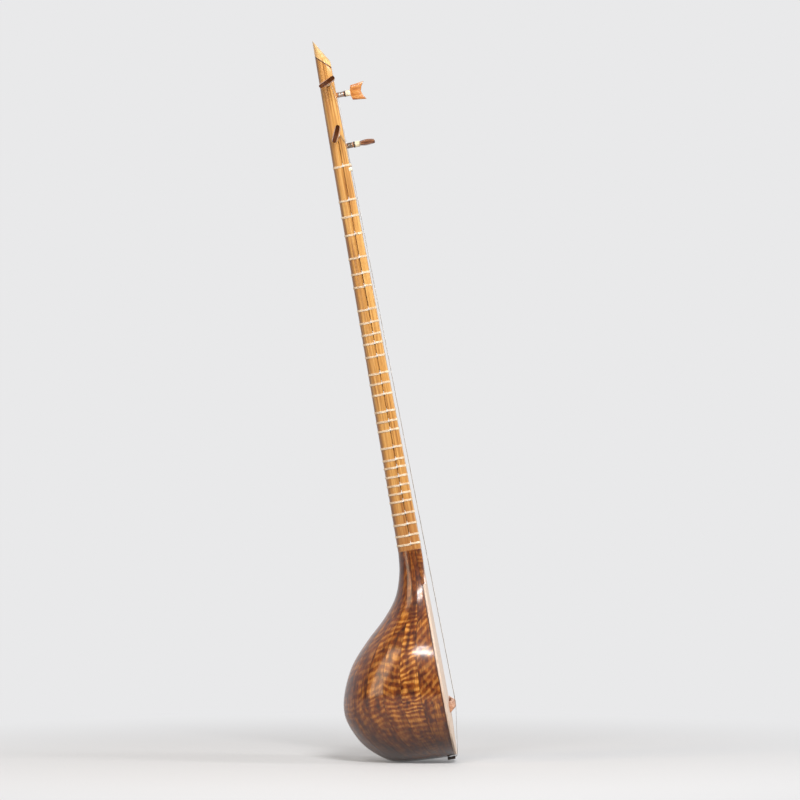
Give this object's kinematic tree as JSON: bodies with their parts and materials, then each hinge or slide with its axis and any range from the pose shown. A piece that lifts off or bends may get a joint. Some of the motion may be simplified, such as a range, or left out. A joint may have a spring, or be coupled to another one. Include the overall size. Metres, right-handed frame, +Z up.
{
  "type": "setar",
  "caption": "Long-necked plucked lute with a ribbed pear-shaped bowl, tied gut frets, a loose bridge and fishtail tuning pegs, leaning back on its tail.",
  "frame": {"origin": "the lowest point of the bowl, where the instrument stands on the floor", "axes": "+Z up, +X the way the soundboard faces, -Y the bass side; the neck leans back 10.6 degrees from +Z towards -X"},
  "size_m": [0.1708, 0.1404, 0.8459],
  "materials": {
    "bowl_wood": "glossy varnish over figured ribs",
    "dark_wood": "satin",
    "soundboard_wood": "bare, lightly oiled",
    "neck_wood": "satin oil",
    "peg_wood": "polished",
    "bridge_wood": "bare",
    "finial_wood": "satin",
    "block_wood": "sawn",
    "bone": "polished bone",
    "gut": "smooth twisted gut",
    "steel_wire": "drawn wire",
    "brass_wire": "drawn wire"
  },
  "bodies": {
    "instrument": {"stave_01": "bowl_wood", "stave_02": "bowl_wood", "stave_03": "bowl_wood", "stave_04": "bowl_wood", "stave_05": "bowl_wood", "stave_06": "bowl_wood", "stave_07": "bowl_wood", "stave_08": "bowl_wood", "stave_09": "bowl_wood", "stave_10": "bowl_wood", "stave_11": "bowl_wood", "stave_12": "bowl_wood", "stave_13": "bowl_wood", "edge_binding": "dark_wood", "soundboard": "soundboard_wood", "neck": "neck_wood", "finial_inlay": "dark_wood", "head_finial": "finial_wood", "tail_block": "block_wood", "neck_block": "bowl_wood", "nut": "bone", "string_holder": "dark_wood", "head_tie": "gut", "string_1": "steel_wire", "string_2": "brass_wire", "string_3": "steel_wire", "string_4": "brass_wire"},
    "peg_front_lower": {"peg_front_lower": "peg_wood"},
    "peg_side_lower": {"peg_side_lower": "peg_wood"},
    "peg_front_upper": {"peg_front_upper": "peg_wood"},
    "peg_side_upper": {"peg_side_upper": "peg_wood"},
    "bridge": {"bridge": "bridge_wood"},
    "fret_01": {"fret_01": "gut"},
    "fret_02": {"fret_02": "gut"},
    "fret_03": {"fret_03": "gut"},
    "fret_04": {"fret_04": "gut"},
    "fret_05": {"fret_05": "gut"},
    "fret_06": {"fret_06": "gut"},
    "fret_07": {"fret_07": "gut"},
    "fret_08": {"fret_08": "gut"},
    "fret_09": {"fret_09": "gut"},
    "fret_10": {"fret_10": "gut"},
    "fret_11": {"fret_11": "gut"},
    "fret_12": {"fret_12": "gut"},
    "fret_13": {"fret_13": "gut"},
    "fret_14": {"fret_14": "gut"},
    "fret_15": {"fret_15": "gut"},
    "fret_16": {"fret_16": "gut"},
    "fret_17": {"fret_17": "gut"},
    "fret_18": {"fret_18": "gut"},
    "fret_19": {"fret_19": "gut"},
    "fret_20": {"fret_20": "gut"},
    "fret_21": {"fret_21": "gut"},
    "fret_22": {"fret_22": "gut"},
    "fret_23": {"fret_23": "gut"},
    "fret_24": {"fret_24": "gut"},
    "fret_25": {"fret_25": "gut"},
    "fret_26": {"fret_26": "gut"},
    "fret_27": {"fret_27": "gut"},
    "fret_28": {"fret_28": "gut"}
  },
  "joints": [
    {"name": "peg_front_lower_turn", "type": "hinge", "parent": "instrument", "child": "peg_front_lower", "pos_m": [-0.06526, 0, 0.72243], "axis": [0.9829, 0, 0.184], "continuous": true},
    {"name": "peg_side_lower_turn", "type": "hinge", "parent": "instrument", "child": "peg_side_lower", "pos_m": [-0.07527, -0.01191, 0.73439], "axis": [0, -1, 0], "continuous": true},
    {"name": "peg_front_upper_turn", "type": "hinge", "parent": "instrument", "child": "peg_front_upper", "pos_m": [-0.07641, 0, 0.78199], "axis": [0.9829, 0, 0.184], "continuous": true},
    {"name": "peg_side_upper_turn", "type": "hinge", "parent": "instrument", "child": "peg_side_upper", "pos_m": [-0.08608, -0.01142, 0.79494], "axis": [0, -1, 0], "continuous": true},
    {"name": "bridge_slide", "type": "slide", "parent": "instrument", "child": "bridge", "axis": [-0.184, 0, 0.9829], "range_m": [-0.0005, 0.0015]},
    {"name": "fret_01_slide", "type": "slide", "parent": "instrument", "child": "fret_01", "axis": [-0.184, 0, 0.9829], "range_m": [-0.003, 0.003]},
    {"name": "fret_02_slide", "type": "slide", "parent": "instrument", "child": "fret_02", "axis": [-0.184, 0, 0.9829], "range_m": [-0.003, 0.003]},
    {"name": "fret_03_slide", "type": "slide", "parent": "instrument", "child": "fret_03", "axis": [-0.184, 0, 0.9829], "range_m": [-0.003, 0.003]},
    {"name": "fret_04_slide", "type": "slide", "parent": "instrument", "child": "fret_04", "axis": [-0.184, 0, 0.9829], "range_m": [-0.003, 0.003]},
    {"name": "fret_05_slide", "type": "slide", "parent": "instrument", "child": "fret_05", "axis": [-0.184, 0, 0.9829], "range_m": [-0.003, 0.003]},
    {"name": "fret_06_slide", "type": "slide", "parent": "instrument", "child": "fret_06", "axis": [-0.184, 0, 0.9829], "range_m": [-0.003, 0.003]},
    {"name": "fret_07_slide", "type": "slide", "parent": "instrument", "child": "fret_07", "axis": [-0.184, 0, 0.9829], "range_m": [-0.003, 0.003]},
    {"name": "fret_08_slide", "type": "slide", "parent": "instrument", "child": "fret_08", "axis": [-0.184, 0, 0.9829], "range_m": [-0.003, 0.003]},
    {"name": "fret_09_slide", "type": "slide", "parent": "instrument", "child": "fret_09", "axis": [-0.184, 0, 0.9829], "range_m": [-0.003, 0.003]},
    {"name": "fret_10_slide", "type": "slide", "parent": "instrument", "child": "fret_10", "axis": [-0.184, 0, 0.9829], "range_m": [-0.003, 0.003]},
    {"name": "fret_11_slide", "type": "slide", "parent": "instrument", "child": "fret_11", "axis": [-0.184, 0, 0.9829], "range_m": [-0.003, 0.003]},
    {"name": "fret_12_slide", "type": "slide", "parent": "instrument", "child": "fret_12", "axis": [-0.184, 0, 0.9829], "range_m": [-0.003, 0.003]},
    {"name": "fret_13_slide", "type": "slide", "parent": "instrument", "child": "fret_13", "axis": [-0.184, 0, 0.9829], "range_m": [-0.003, 0.003]},
    {"name": "fret_14_slide", "type": "slide", "parent": "instrument", "child": "fret_14", "axis": [-0.184, 0, 0.9829], "range_m": [-0.003, 0.003]},
    {"name": "fret_15_slide", "type": "slide", "parent": "instrument", "child": "fret_15", "axis": [-0.184, 0, 0.9829], "range_m": [-0.003, 0.003]},
    {"name": "fret_16_slide", "type": "slide", "parent": "instrument", "child": "fret_16", "axis": [-0.184, 0, 0.9829], "range_m": [-0.003, 0.003]},
    {"name": "fret_17_slide", "type": "slide", "parent": "instrument", "child": "fret_17", "axis": [-0.184, 0, 0.9829], "range_m": [-0.003, 0.003]},
    {"name": "fret_18_slide", "type": "slide", "parent": "instrument", "child": "fret_18", "axis": [-0.184, 0, 0.9829], "range_m": [-0.003, 0.003]},
    {"name": "fret_19_slide", "type": "slide", "parent": "instrument", "child": "fret_19", "axis": [-0.184, 0, 0.9829], "range_m": [-0.003, 0.003]},
    {"name": "fret_20_slide", "type": "slide", "parent": "instrument", "child": "fret_20", "axis": [-0.184, 0, 0.9829], "range_m": [-0.003, 0.003]},
    {"name": "fret_21_slide", "type": "slide", "parent": "instrument", "child": "fret_21", "axis": [-0.184, 0, 0.9829], "range_m": [-0.003, 0.003]},
    {"name": "fret_22_slide", "type": "slide", "parent": "instrument", "child": "fret_22", "axis": [-0.184, 0, 0.9829], "range_m": [-0.003, 0.003]},
    {"name": "fret_23_slide", "type": "slide", "parent": "instrument", "child": "fret_23", "axis": [-0.184, 0, 0.9829], "range_m": [-0.003, 0.003]},
    {"name": "fret_24_slide", "type": "slide", "parent": "instrument", "child": "fret_24", "axis": [-0.184, 0, 0.9829], "range_m": [-0.003, 0.003]},
    {"name": "fret_25_slide", "type": "slide", "parent": "instrument", "child": "fret_25", "axis": [-0.184, 0, 0.9829], "range_m": [-0.003, 0.003]},
    {"name": "fret_26_slide", "type": "slide", "parent": "instrument", "child": "fret_26", "axis": [-0.184, 0, 0.9829], "range_m": [-0.003, 0.003]},
    {"name": "fret_27_slide", "type": "slide", "parent": "instrument", "child": "fret_27", "axis": [-0.184, 0, 0.9829], "range_m": [-0.003, 0.003]},
    {"name": "fret_28_slide", "type": "slide", "parent": "instrument", "child": "fret_28", "axis": [-0.184, 0, 0.9829], "range_m": [-0.003, 0.003]}
  ]
}
